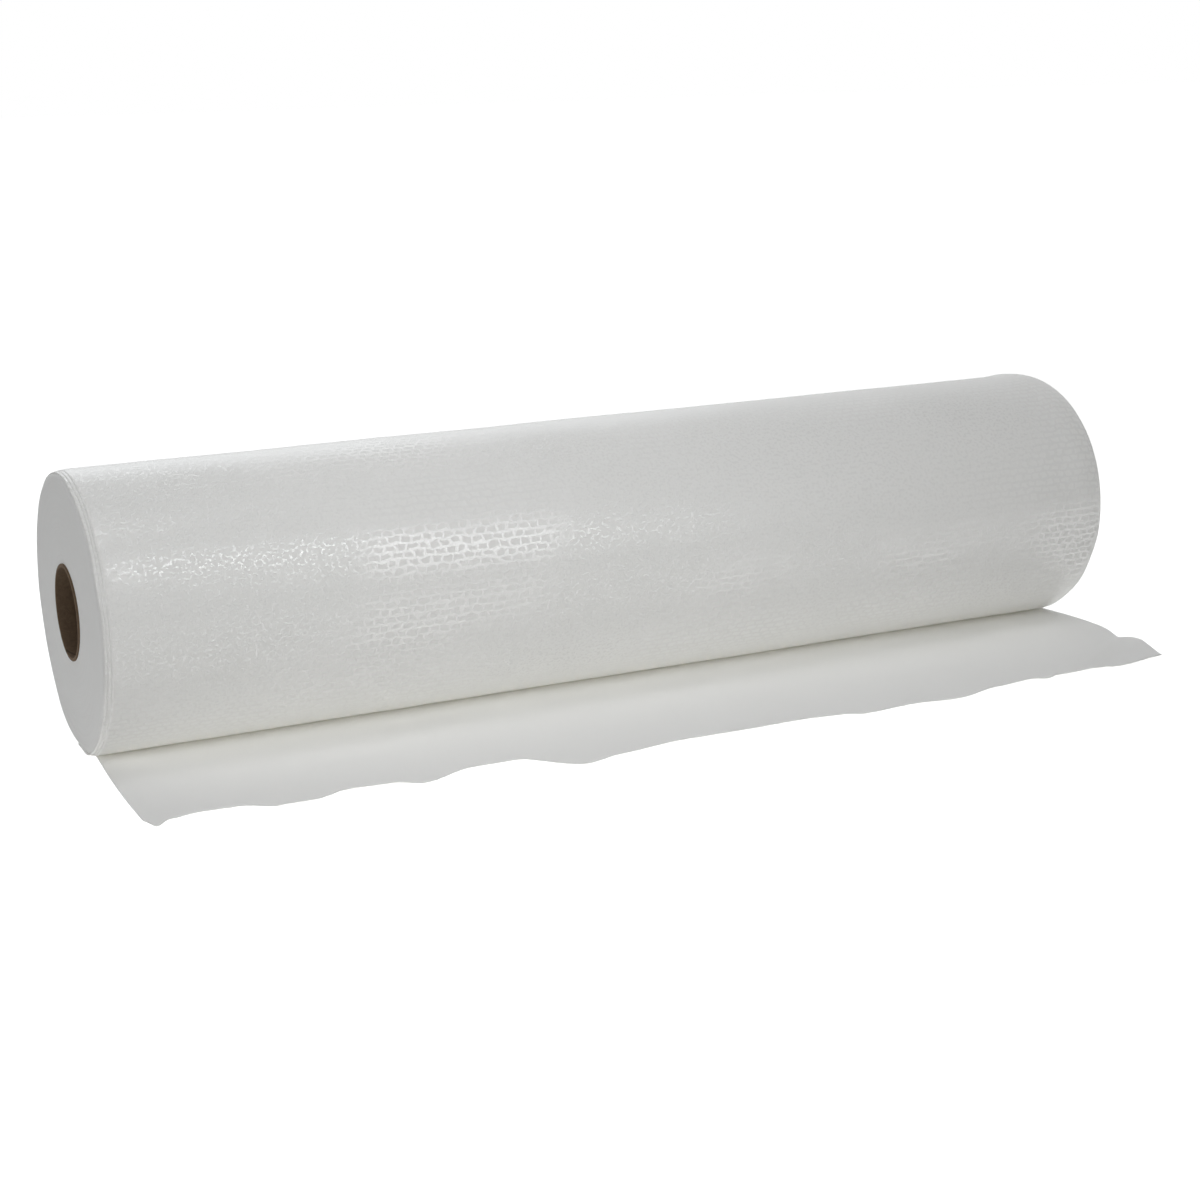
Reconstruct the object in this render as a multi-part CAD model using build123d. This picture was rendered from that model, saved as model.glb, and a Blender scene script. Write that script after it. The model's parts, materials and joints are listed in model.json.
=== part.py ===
from build123d import *
import math
import os

# Absorbent bench paper roll, lying on a bench with a short torn tail pulled out in front.
# The winding axis lies along X. The origin is on the bench, below the middle of the axis, the tail
# points to -Y and Z is up. One continuous web of paper makes the turns and the tail, and it is wound
# on a cardboard tube that stays open from end to end.

# Driving dimensions in millimetres and degrees
SHEET_WIDTH = 500.0
SHEET_THICKNESS = 0.3
ROLL_DIAMETER = 122.0
CORE_BORE = 39.0
CORE_WALL = 1.5
CORE_STICK_OUT = 0.8
WINDING_CLEARANCE = 0.05

# How far the soft roll sinks flat where it lies on the bench
SETTLE = 0.5

# The last turns have wandered sideways, each a little further than the one below it
LOOSE_TURNS = 3
TURN_WANDER = 1.3

# How far the rims of the tight turns have slumped in at both ends
RIM_DEPTH = 1.8
RIM_LENGTH = 1.2

# The spiral line between the turns, as it shows on both ends
SPIRAL_PITCH = 3.5
SPIRAL_WIDTH = 0.4
SPIRAL_DEPTH = 0.3
SPIRAL_MARGIN = 3.0

# The tail, from below the axis to the middle of its torn edge
TAIL_LENGTH = 110.0
TAIL_ROOT = 10.0
TAIL_SECTIONS = 5
EDGE_CURL = 0.4
RIPPLE_HEIGHT = 0.8
RIPPLE_COUNT = 3
RIPPLE_STATIONS = 18

# The right edge of the tail arches off the bench between the roll and its torn corner
ARCH_HEIGHT = 3.0
ARCH_SHARE = 0.22

# The torn edge: share of the sheet's width from its left edge, and how far the paper reaches past
# the middle of the tear there
TEAR = (
    (0.000, -13.0),
    (0.006, -4.5),
    (0.020, -10.0),
    (0.044, -12.0),
    (0.075, -10.5),
    (0.105, -3.5),
    (0.135, -2.5),
    (0.168, -8.0),
    (0.205, -6.5),
    (0.228, -0.5),
    (0.278, -9.5),
    (0.318, -9.5),
    (0.368, 8.5),
    (0.405, 5.0),
    (0.465, 1.5),
    (0.510, 2.8),
    (0.590, 1.5),
    (0.630, 3.5),
    (0.648, 6.8),
    (0.700, 5.2),
    (0.750, 9.2),
    (0.800, 3.6),
    (0.842, 1.8),
    (0.856, 5.0),
    (0.872, 2.0),
    (0.905, 2.4),
    (0.938, 5.8),
    (1.000, 0.8),
)

# Sizes that follow from the driving dimensions
roll_radius = ROLL_DIAMETER / 2
axis_height = roll_radius - SETTLE
core_radius = CORE_BORE / 2 + CORE_WALL
winding_radius = core_radius + WINDING_CLEARANCE
packed_radius = roll_radius - LOOSE_TURNS * SHEET_THICKNESS
flat_half_width = math.sqrt(roll_radius**2 - axis_height**2)
root_length = flat_half_width + TAIL_ROOT
tail_shift = LOOSE_TURNS * TURN_WANDER
tear_reach = max(reach for share, reach in TEAR)
blank_length = TAIL_LENGTH + tear_reach + SHEET_THICKNESS
tail_left = tail_shift - SHEET_WIDTH / 2


def spiral_path(radius, pitch, turns):
    """Half circles on two centres that wind inwards from below the axis, up the back first."""
    arcs = []
    for half_turn in range(2 * turns):
        in_front = half_turn % 2
        centre = (0, axis_height + in_front * pitch / 2)
        start_angle = 90 if in_front else -90
        arcs.append(CenterArc(centre, radius - half_turn * pitch / 2, start_angle, 180))
    return arcs


def spiral_strip(radius, pitch, thickness, turns):
    """The section of a strip wound inwards from a radius, square to the winding axis."""
    outside = spiral_path(radius, pitch, turns)
    inside = spiral_path(radius - thickness, pitch, turns)
    outer_end = Line(outside[0] @ 0, inside[0] @ 0)
    inner_end = Line(outside[-1] @ 1, inside[-1] @ 1)
    return Plane.YZ * make_face([*outside, *inside, outer_end, inner_end])


def along_axis(section, shift):
    """A section drawn out to the width of the sheet, moved sideways by a shift."""
    return Pos(shift - SHEET_WIDTH / 2, 0, 0) * extrude(section, SHEET_WIDTH, dir=(1, 0, 0))


def slumped_rim():
    """The ring that is missing where the rim of the tight turns has slumped at the right end."""
    end = SHEET_WIDTH / 2
    inner = packed_radius - RIM_DEPTH
    outer = packed_radius + RIM_DEPTH
    corner = Polyline(
        (end, inner),
        (end - 2 * RIM_LENGTH, outer),
        (end + RIM_LENGTH, outer),
        (end + RIM_LENGTH, inner),
        close=True,
    )
    ring = revolve(Plane.XZ * make_face(corner.edges()), Axis.X)
    return Pos(0, 0, axis_height) * ring


def packed_turns():
    """The tight turns below the loose ones, as one body with the step where its web goes on."""
    outline = spiral_path(packed_radius, SHEET_THICKNESS, 1)
    step = Line(outline[-1] @ 1, outline[0] @ 0)
    body = along_axis(Plane.YZ * make_face([*outline, step]), 0)
    right_rim = slumped_rim()
    body -= right_rim
    body -= mirror(right_rim, Plane.YZ)
    spiral_turns = int((packed_radius - winding_radius - 2 * SPIRAL_MARGIN) / SPIRAL_PITCH)
    spiral = spiral_strip(packed_radius - SPIRAL_MARGIN, SPIRAL_PITCH, SPIRAL_WIDTH, spiral_turns)
    line = extrude(spiral, SPIRAL_DEPTH, dir=(1, 0, 0))
    left_line = Pos(-SHEET_WIDTH / 2, 0, 0) * line
    right_line = Pos(SHEET_WIDTH / 2 - SPIRAL_DEPTH, 0, 0) * line
    return body - left_line - right_line


def loose_turn(number):
    """One of the last turns, counted inwards from the outside."""
    radius = roll_radius - number * SHEET_THICKNESS
    ring = spiral_strip(radius, SHEET_THICKNESS, SHEET_THICKNESS, 1)
    return along_axis(ring, (LOOSE_TURNS - number) * TURN_WANDER)


def lift(share, progress):
    """Height of the tail above the bench, at a share of the sheet's width from the left and a share
    of the way from its flat root to the free edge."""
    ripple = RIPPLE_HEIGHT * (1 - math.cos(2 * math.pi * RIPPLE_COUNT * share)) / 2
    to_the_right = max(0.0, share - 1 + ARCH_SHARE) / ARCH_SHARE
    arch = ARCH_HEIGHT * to_the_right**2 * math.sin(math.pi * progress)
    return (EDGE_CURL + ripple) * progress**2 + arch


def tail_section(progress):
    """The sheet cut along its width, at a share of the way from its flat root to the free edge."""
    distance = root_length + progress * (blank_length - root_length)
    shares = [station / RIPPLE_STATIONS for station in range(RIPPLE_STATIONS + 1)]
    below = [(tail_left + share * SHEET_WIDTH, lift(share, progress)) for share in shares]
    underside = Spline(*below)
    top = Pos(0, SHEET_THICKNESS) * underside
    left_edge = Line(underside @ 0, top @ 0)
    right_edge = Line(underside @ 1, top @ 1)
    return Plane.XZ.offset(distance) * make_face([underside, right_edge, top, left_edge])


def torn_away():
    """Everything in front of the torn edge, as a block to cut from the blank tail."""
    tear = Spline(*[(tail_left + share * SHEET_WIDTH, -TAIL_LENGTH - reach) for share, reach in TEAR])
    front = -2 * blank_length
    outline = Polyline(tear @ 1, ((tear @ 1).X, front), ((tear @ 0).X, front), tear @ 0)
    height = EDGE_CURL + RIPPLE_HEIGHT + ARCH_HEIGHT + SHEET_THICKNESS
    return extrude(make_face([tear, *outline.edges()]), 2 * height, both=True)


def tail():
    """The free end of the web: flat under the roll, then lying in low ripples up to the tear."""
    root_box = Box(SHEET_WIDTH, root_length, SHEET_THICKNESS, align=(Align.CENTER, Align.MAX, Align.MIN))
    root = Pos(tail_shift, 0, 0) * root_box
    rippled = loft([tail_section(number / TAIL_SECTIONS) for number in range(TAIL_SECTIONS + 1)])
    return root + (rippled - torn_away())


def paper_roll():
    """The whole web: packed turns, loose turns and tail, flat below and open along the axis."""
    web = packed_turns()
    for number in range(LOOSE_TURNS):
        web += loose_turn(number)
    web += tail()
    long_enough = 2 * SHEET_WIDTH
    bench = Box(long_enough, long_enough, roll_radius, align=(Align.CENTER, Align.CENTER, Align.MAX))
    hole = Pos(0, 0, axis_height) * Rot(0, 90, 0) * Cylinder(winding_radius, long_enough)
    return web - bench - hole


def cardboard_core():
    """The tube that the web is wound on, standing a little proud of the turns at both ends."""
    length = SHEET_WIDTH + 2 * CORE_STICK_OUT
    tube = Cylinder(core_radius, length) - Cylinder(CORE_BORE / 2, length)
    return Pos(0, 0, axis_height) * Rot(0, 90, 0) * tube


os.makedirs("parts", exist_ok=True)
export_step(paper_roll(), "parts/paper_roll.step")
export_step(cardboard_core(), "parts/cardboard_core.step")
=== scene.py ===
import json
import math

import bmesh
import bpy
from mathutils import Matrix, Vector, noise


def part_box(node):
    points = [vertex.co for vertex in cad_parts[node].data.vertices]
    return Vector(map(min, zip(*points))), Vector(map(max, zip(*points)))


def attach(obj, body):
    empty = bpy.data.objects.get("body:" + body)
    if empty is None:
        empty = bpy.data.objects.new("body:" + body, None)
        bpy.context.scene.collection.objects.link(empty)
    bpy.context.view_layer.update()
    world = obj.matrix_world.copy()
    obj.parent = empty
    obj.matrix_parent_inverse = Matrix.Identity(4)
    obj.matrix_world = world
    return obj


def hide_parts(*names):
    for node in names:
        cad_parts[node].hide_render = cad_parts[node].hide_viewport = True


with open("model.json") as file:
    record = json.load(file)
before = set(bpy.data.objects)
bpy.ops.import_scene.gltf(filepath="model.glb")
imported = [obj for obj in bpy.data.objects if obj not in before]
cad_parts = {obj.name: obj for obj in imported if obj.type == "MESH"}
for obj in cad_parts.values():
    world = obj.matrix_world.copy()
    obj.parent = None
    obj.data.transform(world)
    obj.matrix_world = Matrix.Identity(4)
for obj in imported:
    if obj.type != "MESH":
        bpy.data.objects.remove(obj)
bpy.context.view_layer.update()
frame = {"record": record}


# The tight turns: some two hundred turns of one paper web, wound hard on the core. Only their cut
# edges show, on the two ends of the roll, and the rims of the outer ones have slumped in a little.
roll_low, roll_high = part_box("paper_roll")
core_low, core_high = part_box("cardboard_core")
core_bore = next(mount for mount in frame["record"]["mounts"] if mount["name"] == "core_bore")
axis_height = core_bore["pos_m"][2]
roll_radius = roll_high.z - axis_height
core_radius = (core_high.z - core_low.z) / 2
left_end = roll_low.x
web_width = -2 * left_end
web_thickness = 0.0003
loose_turn_count = 3
packed_radius = roll_radius - loose_turn_count * web_thickness

rim_depth = 0.0024
rim_length = 0.0032
rim_steps = 6
face_rings = 40
turn_steps = 180
bundle_pitch = 0.0035
bundle_relief = 0.00012
face_wave = 0.00045
face_wave_scale = 45.0
sag_depth = 0.0017
sag_middle = 0.020
sag_spread = 0.012
sag_fade = 6
sharp_angle = math.radians(50)


def feed(tree, socket, value):
    """Links a socket to another one, or sets it to a value."""
    if isinstance(value, bpy.types.NodeSocket):
        tree.links.new(value, socket)
    else:
        socket.default_value = value


def add_node(tree, kind, inputs):
    """A node with some of its input sockets fed, by their names."""
    node = tree.nodes.new(kind)
    for name, value in inputs.items():
        feed(tree, node.inputs[name], value)
    return node


def math_node(tree, operation, first, second):
    """A maths node on two values, each a socket or a number."""
    node = tree.nodes.new("ShaderNodeMath")
    node.operation = operation
    feed(tree, node.inputs[0], first)
    feed(tree, node.inputs[1], second)
    return node.outputs["Value"]


def mix_colours(tree, share, first, second):
    """A colour between two, each a socket or a colour."""
    node = tree.nodes.new("ShaderNodeMix")
    node.data_type = "RGBA"
    for name, value in (("Factor", share), ("A", first), ("B", second)):
        feed(tree, node.inputs[name], value)
    return node.outputs["Result"]


def add_bump(tree, shader, height, depth, strength):
    """A bump, of some depth in metres, on the shader's normal."""
    bump = add_node(tree, "ShaderNodeBump", {"Height": height, "Distance": depth, "Strength": strength})
    tree.links.new(bump.outputs["Normal"], shader.inputs["Normal"])


def own_place(tree, name):
    """The coordinates of a piece's own UV map."""
    node = tree.nodes.new("ShaderNodeUVMap")
    node.uv_map = name
    return node.outputs["UV"]


def new_finish(name, constants):
    """A material with its node tree and its Principled shader, some of whose inputs are set."""
    finish = bpy.data.materials.new(name)
    finish.use_nodes = True
    tree = finish.node_tree
    shader = tree.nodes["Principled BSDF"]
    for socket, value in constants.items():
        shader.inputs[socket].default_value = value
    return finish, tree, shader


def new_group(name, outputs):
    """A node group that reads a place, with that place and the node that takes its outputs."""
    tree = bpy.data.node_groups.new(name, "ShaderNodeTree")
    tree.interface.new_socket("Place", in_out="INPUT", socket_type="NodeSocketVector")
    for output in outputs:
        tree.interface.new_socket(output, in_out="OUTPUT", socket_type="NodeSocketFloat")
    place = tree.nodes.new("NodeGroupInput").outputs["Place"]
    return tree, place, tree.nodes.new("NodeGroupOutput")


def place_group(tree, group, place):
    """The outputs of a node group in a material, reading a coordinate socket."""
    node = tree.nodes.new("ShaderNodeGroup")
    node.node_tree = group
    tree.links.new(place, node.inputs["Place"])
    return node.outputs


def fibre_group():
    """Cellulose fibres: a fine felted height, on coordinates in metres."""
    tree, place, result = new_group("paper fibres", ["Height"])
    strands = {"Vector": place, "Scale": 900.0, "Detail": 5.0, "Roughness": 0.65}
    felt = add_node(tree, "ShaderNodeTexNoise", strands)
    tree.links.new(felt.outputs["Fac"], result.inputs["Height"])
    return tree


paper_fibres = fibre_group()


def cut_edge_paper():
    """The cut edges of the turns: matt white paper with fine lines that wind in as one spiral."""
    finish, tree, shader = new_finish("cut turn edges", {"Roughness": 0.8, "Specular IOR Level": 0.3})
    object_place = tree.nodes.new("ShaderNodeTexCoord").outputs["Object"]
    fibres = place_group(tree, paper_fibres, object_place)
    run = {"Vector": own_place(tree, "turns"), "Scale": (1.6, 1400.0, 1.0)}
    along_turns = add_node(tree, "ShaderNodeMapping", run).outputs["Vector"]
    edges = {"Vector": along_turns, "Scale": 1.0, "Detail": 3.0, "Roughness": 0.7}
    lines = add_node(tree, "ShaderNodeTexNoise", edges)
    lines.noise_dimensions = "2D"
    line = lines.outputs["Fac"]
    white = mix_colours(tree, line, (0.90, 0.90, 0.89, 1.0), (0.98, 0.98, 0.97, 1.0))
    tree.links.new(white, shader.inputs["Base Color"])
    add_bump(tree, shader, math_node(tree, "ADD", line, fibres["Height"]), 0.0002, 0.35)
    return finish


def around_axis(point):
    """Distance from the winding axis, and the angle from below it, first up the back of the roll."""
    y = point.y
    z = point.z - axis_height
    return math.hypot(y, z), math.atan2(y, -z) % math.tau


def at_angle(x, radius, angle):
    """The point at a distance and angle round the winding axis."""
    return Vector((x, radius * math.sin(angle), axis_height - radius * math.cos(angle)))


def spin_outline(outline, long_edges, cuts, steps):
    """A closed outline of places along the axis and radii, with its long edges cut, spun round."""
    bm = bmesh.new()
    corners = [bm.verts.new((x, 0, axis_height + radius)) for x, radius in outline]
    edges = [bm.edges.new(pair) for pair in zip(corners, corners[1:] + corners[:1])]
    bmesh.ops.subdivide_edges(bm, edges=[edges[number] for number in long_edges], cuts=cuts)
    bmesh.ops.spin(
        bm,
        geom=bm.verts[:] + bm.edges[:],
        cent=(0, 0, axis_height),
        axis=(1, 0, 0),
        angle=math.tau,
        steps=steps,
        use_merge=True,
    )
    bmesh.ops.recalc_face_normals(bm, faces=bm.faces)
    return bm


def mark_round(bm, name, measure):
    """A UV map of the share of a turn round the axis, and of a measure of the point there."""
    layer = bm.loops.layers.uv.new(name)
    for face in bm.faces:
        middle = around_axis(face.calc_center_median())[1]
        for loop in face.loops:
            angle = around_axis(loop.vert.co)[1]
            angle += math.tau * round((middle - angle) / math.tau)
            loop[layer].uv = (angle / math.tau, measure(loop.vert.co, angle))


def wound_radius(point, angle):
    """The radius that grows by one thickness of the web with each turn."""
    return around_axis(point)[0] + web_thickness * angle / math.tau


def face_relief(radius, angle):
    """How far the cut edges stand out of the end: bundles along the spiral, on a slow wave."""
    bundle = (radius / bundle_pitch + angle / math.tau) % 1
    ridge = abs(2 * bundle - 1)
    spot = at_angle(0, radius, angle) * face_wave_scale
    return bundle_relief * ridge + face_wave * noise.noise(spot)


def sag(point):
    """How far the soft roll has sunk on both sides of its flat spot, fading inwards to the core."""
    if point.z > axis_height:
        return 0.0
    beside = (abs(point.y) - sag_middle) / sag_spread
    inwards = (around_axis(point)[0] / roll_radius) ** sag_fade
    return sag_depth * inwards * math.exp(-(beside**2))


def make_tight_turns():
    """The section spun round the axis, then the ends waved and the bottom flattened."""
    half = [(left_end, core_radius)]
    for step in range(rim_steps + 1):
        slope = math.pi / 2 * step / rim_steps
        x = left_end + rim_length * (1 - math.cos(slope))
        half.append((x, packed_radius - rim_depth * (1 - math.sin(slope))))
    outline = half + [(-x, radius) for x, radius in reversed(half)]
    bm = spin_outline(outline, (0, len(half) + rim_steps), face_rings, turn_steps)
    mark_round(bm, "turns", wound_radius)
    for vert in bm.verts:
        radius, angle = around_axis(vert.co)
        at_end = max(0.0, 1 - (abs(left_end) - abs(vert.co.x)) / rim_length)
        vert.co.x += math.copysign(at_end * face_relief(radius, angle), vert.co.x)
        vert.co.z = max(vert.co.z - sag(vert.co), loose_turn_count * web_thickness)
    return bm


def add_piece(name, bm, finish, node):
    """A finished mesh as a piece of the object that stands for a CAD node."""
    mesh = bpy.data.meshes.new(name)
    bm.to_mesh(mesh)
    bm.free()
    mesh.materials.append(finish)
    mesh.shade_smooth()
    piece = bpy.data.objects.new(name, mesh)
    bpy.context.scene.collection.objects.link(piece)
    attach(piece, "root")
    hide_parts(node)
    return piece


tight_turns = add_piece("tight_turns", make_tight_turns(), cut_edge_paper(), "paper_roll")
tight_turns.data.set_sharp_from_angle(angle=sharp_angle)


# The loose turns: the last turns of the same web, with its film side out. They have wandered to the
# right, each past the one below, so that their edges show at the left end and overhang at the right.
wander = roll_high.x + left_end
loose_columns = 120
loose_steps = 90
loose_length = loose_turn_count * math.tau * (roll_radius - loose_turn_count * web_thickness / 2)
wall_share = 0.9
edge_crowding = 0.7
left_band = 0.004
left_droop = 0.0004
right_band = 0.006
right_droop = 0.0018
right_flare = 0.0008
flare_place = 0.012
flare_width = 0.006
free_rise = 0.6
edge_flutter = 0.0003
flutter_scale = 55.0
slack_height = 0.00025
slack_scale = 18.0
pucker_height = 0.00008
pucker_scale = 75.0
millimetre = 0.001
cell_width = 5.0 * millimetre
cell_row = 3.4 * millimetre
border_width = 0.8 * millimetre
border_relief = 0.14
pebble_relief = 0.17


def ramp(tree, value, low, high):
    """A socket's value as 0 up to a low mark, 1 from a high mark on, and a straight rise between."""
    marks = {"Value": value, "From Min": low, "From Max": high}
    return add_node(tree, "ShaderNodeMapRange", marks).outputs["Result"]


def mix_values(tree, share, first, second):
    """A value between two, each a socket or a number."""
    ends = {"Factor": share, "A": first, "B": second}
    return add_node(tree, "ShaderNodeMix", ends).outputs["Result"]


def pressed_cells(tree, place):
    """Staggered cells with swaying borders, as a mask of the borders. The texture works in
    millimetres."""
    wobble = add_node(tree, "ShaderNodeTexNoise", {"Vector": place, "Scale": 240.0, "Detail": 1.0})
    sway = tree.nodes.new("ShaderNodeVectorMath")
    sway.operation = "MULTIPLY_ADD"
    feed(tree, sway.inputs[0], wobble.outputs["Color"])
    feed(tree, sway.inputs[1], (0.0042, 0.0036, 0.0))
    feed(tree, sway.inputs[2], place)
    bricks = {
        "Vector": sway.outputs["Vector"],
        "Scale": 1 / millimetre,
        "Brick Width": cell_width / millimetre,
        "Row Height": cell_row / millimetre,
        "Mortar Size": border_width / millimetre,
        "Mortar Smooth": 0.5,
    }
    return add_node(tree, "ShaderNodeTexBrick", bricks).outputs["Fac"]


def fine_crepe(tree, place):
    """The tops of a fine crepe, a little finer along the web than across it."""
    run = add_node(tree, "ShaderNodeMapping", {"Vector": place, "Scale": (650.0, 720.0, 1.0)})
    creases = {"Vector": run.outputs["Vector"], "Scale": 1.0, "Detail": 2.0}
    crepe = add_node(tree, "ShaderNodeTexNoise", creases)
    return ramp(tree, crepe.outputs["Fac"], 0.53, 0.58)


def embossing_group():
    """The web's embossing on its own coordinates in metres: staggered cells that fade in patches
    into a finer pebbled crepe, as a height and as the mask of the raised borders."""
    tree, place, result = new_group("web embossing", ["Relief", "Borders"])
    spread = add_node(tree, "ShaderNodeMapping", {"Vector": place, "Location": (1.64, 2.52, 0.0)})
    patches = {"Vector": spread.outputs["Vector"], "Scale": 11.0, "Detail": 1.0}
    patch = add_node(tree, "ShaderNodeTexNoise", patches)
    well_pressed = ramp(tree, patch.outputs["Fac"], 0.42, 0.60)
    borders = mix_values(tree, well_pressed, fine_crepe(tree, place), pressed_cells(tree, place))
    grains = {"Vector": place, "Scale": 650.0, "Detail": 2.0, "Roughness": 0.55}
    pebble = add_node(tree, "ShaderNodeTexNoise", grains)
    border_height = math_node(tree, "MULTIPLY", borders, border_relief)
    pebble_height = math_node(tree, "MULTIPLY", pebble.outputs["Fac"], pebble_relief)
    tree.links.new(math_node(tree, "ADD", border_height, pebble_height), result.inputs["Relief"])
    tree.links.new(borders, result.inputs["Borders"])
    return tree


web_embossing = embossing_group()


def embossed_film():
    """The web's film side, out on the roll: white paper under a thin film, which is glossy on the raised
    borders where it is seen straight on, and evenly where it is seen at a slant. The raised borders
    are painted a little whiter too, as a painted sheen."""
    constants = {
        "Roughness": 0.6,
        "Specular IOR Level": 0.3,
        "Coat Roughness": 0.25,
        "Coat IOR": 1.85,
    }
    finish, tree, shader = new_finish("embossed film side", constants)
    embossing = place_group(tree, web_embossing, own_place(tree, "web"))
    borders = embossing["Borders"]
    # Painted sheen: the raised borders get a whiter base colour than the cells, standing in for the
    # gloss that catches the lamps, on top of their real coat.
    white = mix_colours(tree, borders, (0.950, 0.947, 0.925, 1.0), (0.985, 0.982, 0.960, 1.0))
    tree.links.new(white, shader.inputs["Base Color"])
    add_bump(tree, shader, embossing["Relief"], 0.0003, 1.0)
    slant = add_node(tree, "ShaderNodeLayerWeight", {"Blend": 0.5})
    sheen = ramp(tree, slant.outputs["Facing"], 0.45, 0.80)
    tree.links.new(mix_values(tree, sheen, borders, 0.4), shader.inputs["Coat Weight"])
    return finish


def flat_web(columns, rows, length):
    """A flat cut of the web, its left edge on X = 0 and one end on Y = 0, its columns crowded
    towards both edges."""
    bm = bmesh.new()
    centre = Matrix.Translation((0.5, length / 2, 0))
    size = Matrix.Diagonal((0.5, length / 2, 1, 1))
    bmesh.ops.create_grid(bm, x_segments=columns, y_segments=rows, size=1, matrix=centre @ size)
    for vert in bm.verts:
        share = vert.co.x
        crowded = (1 - math.cos(math.pi * share)) / 2
        vert.co.x = web_width * (share + edge_crowding * (crowded - share))
    return bm


def mark_web(bm):
    """The flat web's own coordinates, in metres, as its UV map."""
    web = bm.loops.layers.uv.new("web")
    for face in bm.faces:
        for loop in face.loops:
            loop[web].uv = loop.vert.co.xy


def edge_height(across):
    """How far the web stands off its turn near an edge: both edges droop, the right one more, with
    a flare beside it."""
    near_left = max(0.0, 1 - across / left_band)
    from_right = web_width - across
    near_right = max(0.0, 1 - from_right / right_band)
    flare = math.exp(-(((from_right - flare_place) / flare_width) ** 2))
    return right_flare * flare - left_droop * near_left**2 - right_droop * near_right**2


def make_loose_turns():
    """A flat cut of the web wound on over the tight turns, from below the axis up the back first."""
    bm = flat_web(loose_columns, loose_turn_count * loose_steps, loose_length)
    mark_web(bm)
    for vert in bm.verts:
        across, along = vert.co.xy
        angle = loose_turn_count * math.tau * along / loose_length
        turns = angle / math.tau
        shift = wander * (1 - turns / loose_turn_count)
        spot = Vector((across, math.sin(angle) * roll_radius, math.cos(angle) * roll_radius))
        slack = slack_height * noise.noise(spot * slack_scale)
        pucker = pucker_height * noise.noise(spot * pucker_scale)
        flutter = edge_flutter * noise.noise(spot * flutter_scale + Vector((2 * turns, 0, 0)))
        free = min(1.0, (1 - math.cos(angle)) / free_rise)
        radius = roll_radius - web_thickness * turns + slack + pucker + free * edge_height(across)
        place = at_angle(left_end + shift + across + flutter, radius, angle)
        place.z = max(place.z - sag(place), web_thickness * turns)
        vert.co = place
    return bm


def thicken(piece):
    """The web's thickness on the side towards the core, a little less than a turn takes up."""
    wall = piece.modifiers.new("web thickness", "SOLIDIFY")
    wall.thickness = wall_share * web_thickness
    wall.offset = 1


loose_turns = add_piece("loose_turns", make_loose_turns(), embossed_film(), "paper_roll")
thicken(loose_turns)


# The torn tail: the free end of the same web, pulled out flat in front of the roll. It lies in low
# ripples, keeps a little of its curl at the free edge, and ends in a ragged tear. The tear is given
# as shares of the web's width from the left, with its reach in millimetres past its middle there.
tail_length = 0.110
tail_root = 0.018
tail_columns = 420
tail_rows = 60
tail_overlap = 0.002
left_bulge = 0.0015
edge_curl = 0.0004
ripple_height = 0.0008
ripple_count = 3
arch_height = 0.003
arch_share = 0.22
fine_ripple = 0.0003
fine_ripple_scale = 38.0
fine_ripple_rest = 0.6
crease_start = Vector((web_width, -0.078))
crease_end = Vector((0.43, -0.114))
crease_depth = 0.0020
crease_width = 0.006
corner_curl = 0.0026
corner_size = 0.028
curl_peak = 0.55
fray = 0.0005
fray_scale = 420.0
fray_octaves = 3
tear = (
    (0.000, -13.0),
    (0.006, -4.5),
    (0.020, -10.0),
    (0.044, -12.0),
    (0.075, -10.5),
    (0.105, -3.5),
    (0.135, -2.5),
    (0.168, -8.0),
    (0.205, -6.5),
    (0.228, -0.5),
    (0.278, -9.5),
    (0.318, -9.5),
    (0.368, 8.5),
    (0.405, 5.0),
    (0.465, 1.5),
    (0.510, 2.8),
    (0.590, 1.5),
    (0.630, 3.5),
    (0.648, 6.8),
    (0.700, 5.2),
    (0.750, 9.2),
    (0.800, 3.6),
    (0.842, 1.8),
    (0.856, 5.0),
    (0.872, 2.0),
    (0.905, 2.4),
    (0.938, 5.8),
    (1.000, 0.8),
)


def soft_paper():
    """The web's paper side, which the tail turns up: matt white tissue, faintly embossed."""
    constants = {
        "Base Color": (0.985, 0.983, 0.970, 1.0),
        "Roughness": 0.75,
        "Specular IOR Level": 0.2,
    }
    finish, tree, shader = new_finish("soft paper side", constants)
    embossing = place_group(tree, web_embossing, own_place(tree, "web"))
    add_bump(tree, shader, embossing["Relief"], 0.00008, 1.0)
    return finish


def tear_reach(share):
    """How far the torn edge reaches past its middle, at a share of the web's width."""
    for (start, low), (end, high) in zip(tear, tear[1:]):
        if share <= end:
            break
    part = (share - start) / (end - start)
    ease = part * part * (3 - 2 * part)
    spot = Vector((share * web_width * fray_scale, 0, 0))
    ragged = fray * noise.fractal(spot, 1.0, 2.0, fray_octaves)
    return (low + (high - low) * ease) * millimetre + ragged


def corner_fold(spot):
    """The torn right corner: a slanting crease, and the curl of the web beyond it."""
    run = crease_end - crease_start
    from_start = spot - crease_start
    fade = max(0.0, 1 - max(0.0, from_start.dot(run) / run.length_squared))
    past = from_start.dot(Vector((-run.y, run.x)).normalized())
    part = min(max(past / corner_size, 0.0), 1.0)
    curl = corner_curl * min(part / curl_peak, (1 - part) / (1 - curl_peak))
    return fade * (curl - crease_depth * math.exp(-((past / crease_width) ** 2)))


def tail_lift(share, progress, spot):
    """Height of the web above the bench, at a share of its width and of the way to the free edge."""
    ripple = ripple_height * (1 - math.cos(math.tau * ripple_count * share)) / 2
    to_the_right = max(0.0, share - 1 + arch_share) / arch_share
    arch = arch_height * to_the_right**2 * math.sin(math.pi * min(progress, 1.0))
    lift = (edge_curl + ripple) * progress**2 + arch + corner_fold(spot)
    fine = noise.noise(spot.to_3d() * fine_ripple_scale) + fine_ripple_rest
    return lift + fine_ripple * progress * fine


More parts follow.
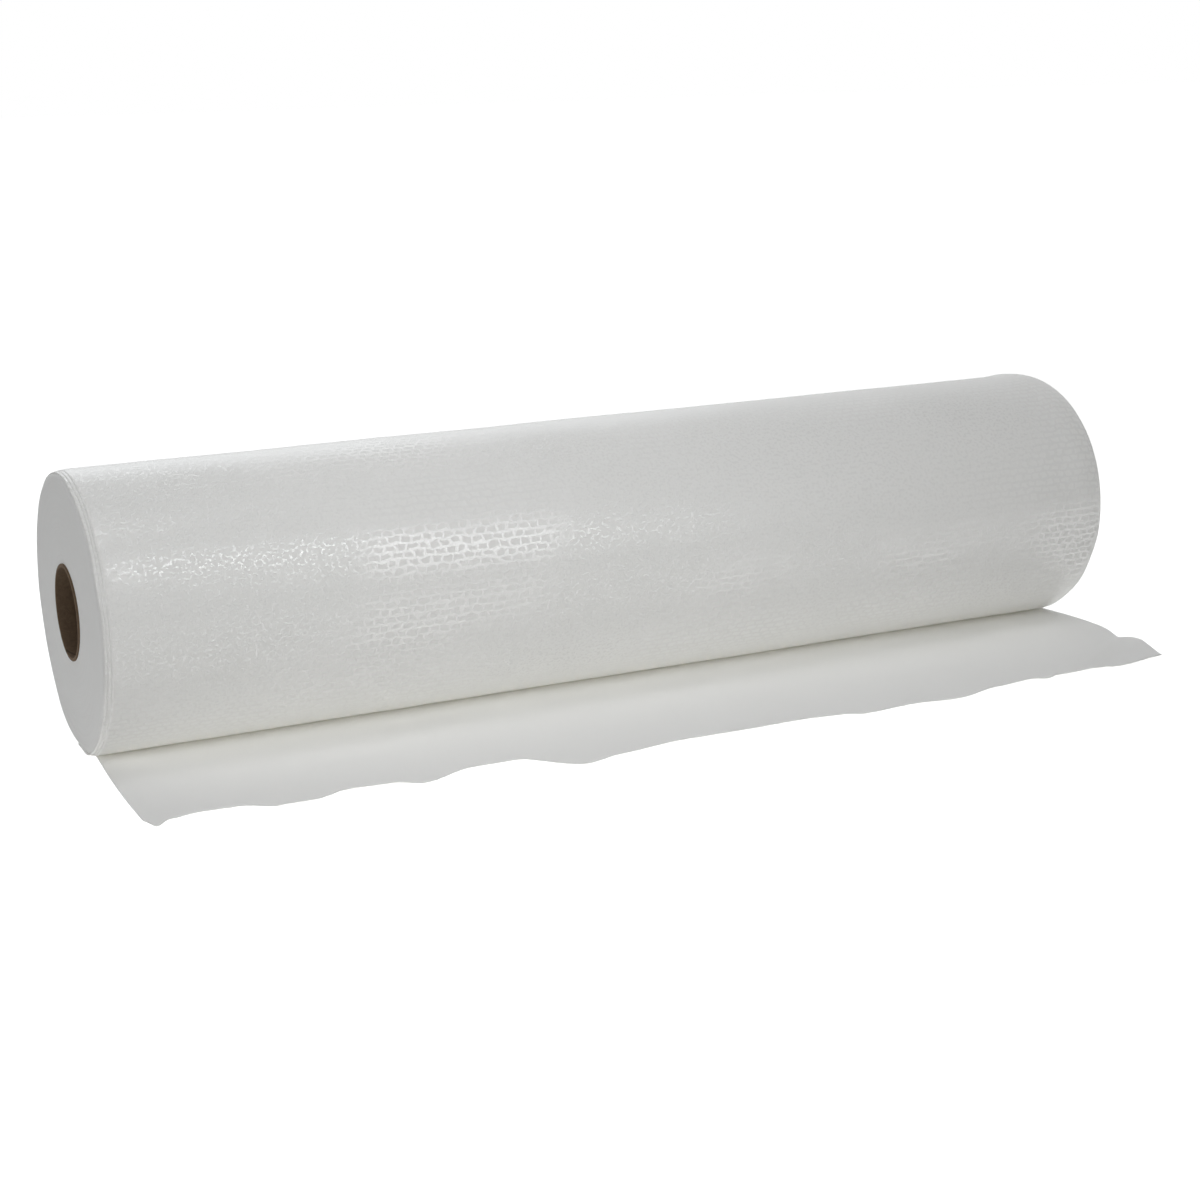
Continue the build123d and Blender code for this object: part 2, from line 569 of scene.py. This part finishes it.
def make_tail():
    """A flat cut of the web, drawn out to the tear and then lifted into its ripples."""
    bm = flat_web(tail_columns, tail_rows, 1)
    for vert in bm.verts:
        share = vert.co.x / web_width
        length = tail_length + tear_reach(share)
        vert.co.y = tail_overlap - vert.co.y * (tail_overlap + length)
    mark_web(bm)
    for vert in bm.verts:
        across, along = vert.co.xy
        share = across / web_width
        progress = max(0.0, (-along - tail_root) / (-roll_low.y - tail_root))
        bulge = left_bulge * (1 - share) ** 4 * math.sin(math.pi * progress)
        lift = tail_lift(share, progress, Vector((across, along)))
        vert.co = (left_end + wander + across - bulge, along, max(0.0, lift))
    bmesh.ops.reverse_faces(bm, faces=bm.faces)
    return bm


torn_tail = add_piece("torn_tail", make_tail(), soft_paper(), "paper_roll")
thicken(torn_tail)


# The core: a tube of dark grey-brown board, wound from narrow strips along a helix and glued. It is
# cut square and stands a little proud of the paper at both ends.
bore_radius = core_bore["dims"]["r_mm"] * millimetre
core_steps = 128
core_rows = 40
strip_pitch = 0.062
seam_share = 0.02
cut_rounding = 0.0002


def core_board():
    """Recycled board: dark grey-brown with pale and dark flecks, and the seam of its inner strip."""
    constants = {"Roughness": 0.85, "Specular IOR Level": 0.25}
    finish, tree, shader = new_finish("grey-brown core board", constants)
    place = tree.nodes.new("ShaderNodeTexCoord").outputs["Object"]
    fibres = place_group(tree, paper_fibres, place)
    tube = add_node(tree, "ShaderNodeSeparateXYZ", {"Vector": own_place(tree, "tube")})
    strips = math_node(tree, "DIVIDE", tube.outputs["Y"], strip_pitch)
    helix = math_node(tree, "ADD", tube.outputs["X"], strips)
    seam = ramp(tree, math_node(tree, "FRACT", helix, 0.0), 0.0, seam_share)
    specks = {"Vector": place, "Scale": 600.0, "Detail": 3.0, "Roughness": 0.7}
    flecks = add_node(tree, "ShaderNodeTexNoise", specks)
    fleck = flecks.outputs["Fac"]
    board = mix_colours(tree, fleck, (0.10, 0.064, 0.040, 1.0), (0.21, 0.145, 0.09, 1.0))
    seamed = mix_colours(tree, seam, (0.04, 0.03, 0.022, 1.0), board)
    tree.links.new(seamed, shader.inputs["Base Color"])
    add_bump(tree, shader, math_node(tree, "ADD", seam, fibres["Height"]), 0.0003, 0.5)
    return finish


def along_tube(point, angle):
    """The place along the tube, whatever the angle."""
    return point.x


def make_core():
    """The wall's section, with softened cut corners, spun round the axis."""
    outline = [
        (core_low.x, bore_radius + cut_rounding),
        (core_low.x, core_radius - cut_rounding),
        (core_low.x + cut_rounding, core_radius),
        (core_high.x - cut_rounding, core_radius),
        (core_high.x, core_radius - cut_rounding),
        (core_high.x, bore_radius + cut_rounding),
        (core_high.x - cut_rounding, bore_radius),
        (core_low.x + cut_rounding, bore_radius),
    ]
    inner_wall = len(outline) - 2
    bm = spin_outline(outline, (inner_wall,), core_rows, core_steps)
    mark_round(bm, "tube", along_tube)
    return bm


core_tube = add_piece("core_tube", make_core(), core_board(), "cardboard_core")
core_tube.data.set_sharp_from_angle(angle=sharp_angle)


# The stage: a matt white bench top that runs out of the picture. Its glow makes it plain white for the
# camera, as in the photo, and is strong enough that the object's soft shadow doesn't show on it.
floor_size = 8.0
floor_glow = 0.84


def seen_directly(tree):
    """1 for what the camera sees itself, in a mirror or through glass, and 0 for light on the object."""
    rays = tree.nodes.new("ShaderNodeLightPath").outputs
    straight = math_node(tree, "MAXIMUM", rays["Is Camera Ray"], rays["Is Glossy Ray"])
    return math_node(tree, "MAXIMUM", straight, rays["Is Transmission Ray"])


def white_bench():
    """Matt white with a glow that only the camera, mirrors and glass see."""
    constants = {
        "Base Color": (0.88, 0.875, 0.86, 1.0),
        "Roughness": 0.9,
        "Specular IOR Level": 0.0,
    }
    finish, tree, shader = new_finish("white bench top", constants)
    strength = math_node(tree, "MULTIPLY", seen_directly(tree), floor_glow)
    glow = add_node(tree, "ShaderNodeEmission", {"Strength": strength})
    both = tree.nodes.new("ShaderNodeAddShader")
    tree.links.new(shader.outputs["BSDF"], both.inputs[0])
    tree.links.new(glow.outputs["Emission"], both.inputs[1])
    tree.links.new(both.outputs["Shader"], tree.nodes["Material Output"].inputs["Surface"])
    return finish


def make_floor():
    """A large square at the height that the object lies on."""
    bm = bmesh.new()
    bmesh.ops.create_grid(bm, x_segments=1, y_segments=1, size=floor_size / 2)
    mesh = bpy.data.meshes.new("bench_top")
    bm.to_mesh(mesh)
    bm.free()
    mesh.materials.append(white_bench())
    bench_top = bpy.data.objects.new("bench_top", mesh)
    bpy.context.scene.collection.objects.link(bench_top)
    return bench_top


make_floor()


# The light: an even pale room and six soft boxes with grids. The tall key box in front breaks up on
# the embossed film as its sparkle, and the others fill the front, tail, top, left end and back.
room_above = (0.98, 0.99, 1.0, 1.0)
room_below = (1.0, 0.985, 0.95, 1.0)
room_strength = 0.21
day_white = (0.985, 0.992, 1.0)
cool_white = (0.92, 0.96, 1.0)
scene = bpy.context.scene
scene.view_settings.view_transform = "Standard"


def white_room():
    """Pale light, a little warmer from below. The camera sees plain white instead, also through glass,
    and so do mirrored rays that leave for the far side of the roll."""
    room = bpy.data.worlds.new("white room")
    room.use_nodes = True
    tree = room.node_tree
    way = tree.nodes.new("ShaderNodeTexCoord").outputs["Generated"]
    axes = add_node(tree, "ShaderNodeSeparateXYZ", {"Vector": way}).outputs
    tint = mix_colours(tree, ramp(tree, axes["Z"], -0.3, 0.8), room_below, room_above)
    pale = tree.nodes["Background"]
    feed(tree, pale.inputs["Color"], tint)
    feed(tree, pale.inputs["Strength"], room_strength)
    white = add_node(tree, "ShaderNodeBackground", {"Color": (1.0, 1.0, 1.0, 1.0), "Strength": 1.0})
    rays = tree.nodes.new("ShaderNodeLightPath").outputs
    mirrored = math_node(tree, "MULTIPLY", rays["Is Glossy Ray"], ramp(tree, axes["Y"], -0.3, 0.5))
    direct = math_node(tree, "MAXIMUM", rays["Is Camera Ray"], rays["Is Transmission Ray"])
    choice = add_node(tree, "ShaderNodeMixShader", {"Fac": math_node(tree, "MAXIMUM", direct, mirrored)})
    tree.links.new(pale.outputs["Background"], choice.inputs[1])
    tree.links.new(white.outputs["Background"], choice.inputs[2])
    tree.links.new(choice.outputs["Shader"], tree.nodes["World Output"].inputs["Surface"])
    return room


scene.world = white_room()


def soft_box(name, place, target, size, power, spread, colour):
    """A soft box that faces a point, with a grid that narrows its beam to some degrees."""
    lamp = bpy.data.lights.new(name, "AREA")
    lamp.shape = "RECTANGLE"
    lamp.size, lamp.size_y = size
    lamp.energy = power
    lamp.color = colour
    lamp.spread = math.radians(spread)
    box = bpy.data.objects.new(name, lamp)
    box.location = place
    box.rotation_euler = (Vector(target) - Vector(place)).to_track_quat("-Z", "Y").to_euler()
    scene.collection.objects.link(box)


soft_box(
    "key_soft_box",
    place=(0.36, -1.02, 0.62),
    target=(-0.19, 0.0, 0.08),
    size=(0.4, 0.8),
    power=0.26,
    spread=52,
    colour=day_white,
)
soft_box(
    "high_soft_box",
    place=(0.05, -0.85, 0.85),
    target=(-0.12, -0.05, 0.04),
    size=(0.4, 0.36),
    power=0.18,
    spread=56,
    colour=day_white,
)
soft_box(
    "tail_soft_box",
    place=(0.42, -0.45, 0.95),
    target=(0.30, -0.10, 0.0),
    size=(0.25, 0.25),
    power=0.05,
    spread=32,
    colour=day_white,
)
soft_box(
    "top_soft_box",
    place=(-0.15, -0.25, 1.1),
    target=(-0.08, -0.04, 0.05),
    size=(0.4, 0.4),
    power=0.15,
    spread=50,
    colour=day_white,
)
soft_box(
    "end_soft_box",
    place=(-1.4, -0.35, 0.4),
    target=(-0.25, 0.0, 0.06),
    size=(0.6, 0.5),
    power=0.33,
    spread=60,
    colour=day_white,
)
soft_box(
    "back_soft_box",
    place=(0.12, 1.05, 0.6),
    target=(0.10, 0.0, 0.08),
    size=(1.2, 0.8),
    power=0.78,
    spread=70,
    colour=cool_white,
)


# The camera: level, from the front left and above, as the object was photographed. Light may bounce
# often enough between the roll and its tail to fill the crease.
camera_place = Vector((-0.4347, -0.8857, 0.3255))
camera_turn = math.radians(26.265)
camera_dip = math.radians(16.50)
bounce_limit = 32
lens_data = bpy.data.cameras.new("camera")
lens_data.sensor_width = 36.0
lens_data.lens = 64.5
camera = bpy.data.objects.new("camera", lens_data)
camera.location = camera_place
camera.rotation_euler = (math.pi / 2 - camera_dip, 0.0, -camera_turn)
scene.collection.objects.link(camera)
scene.camera = camera
scene.cycles.max_bounces = bounce_limit
scene.cycles.diffuse_bounces = bounce_limit
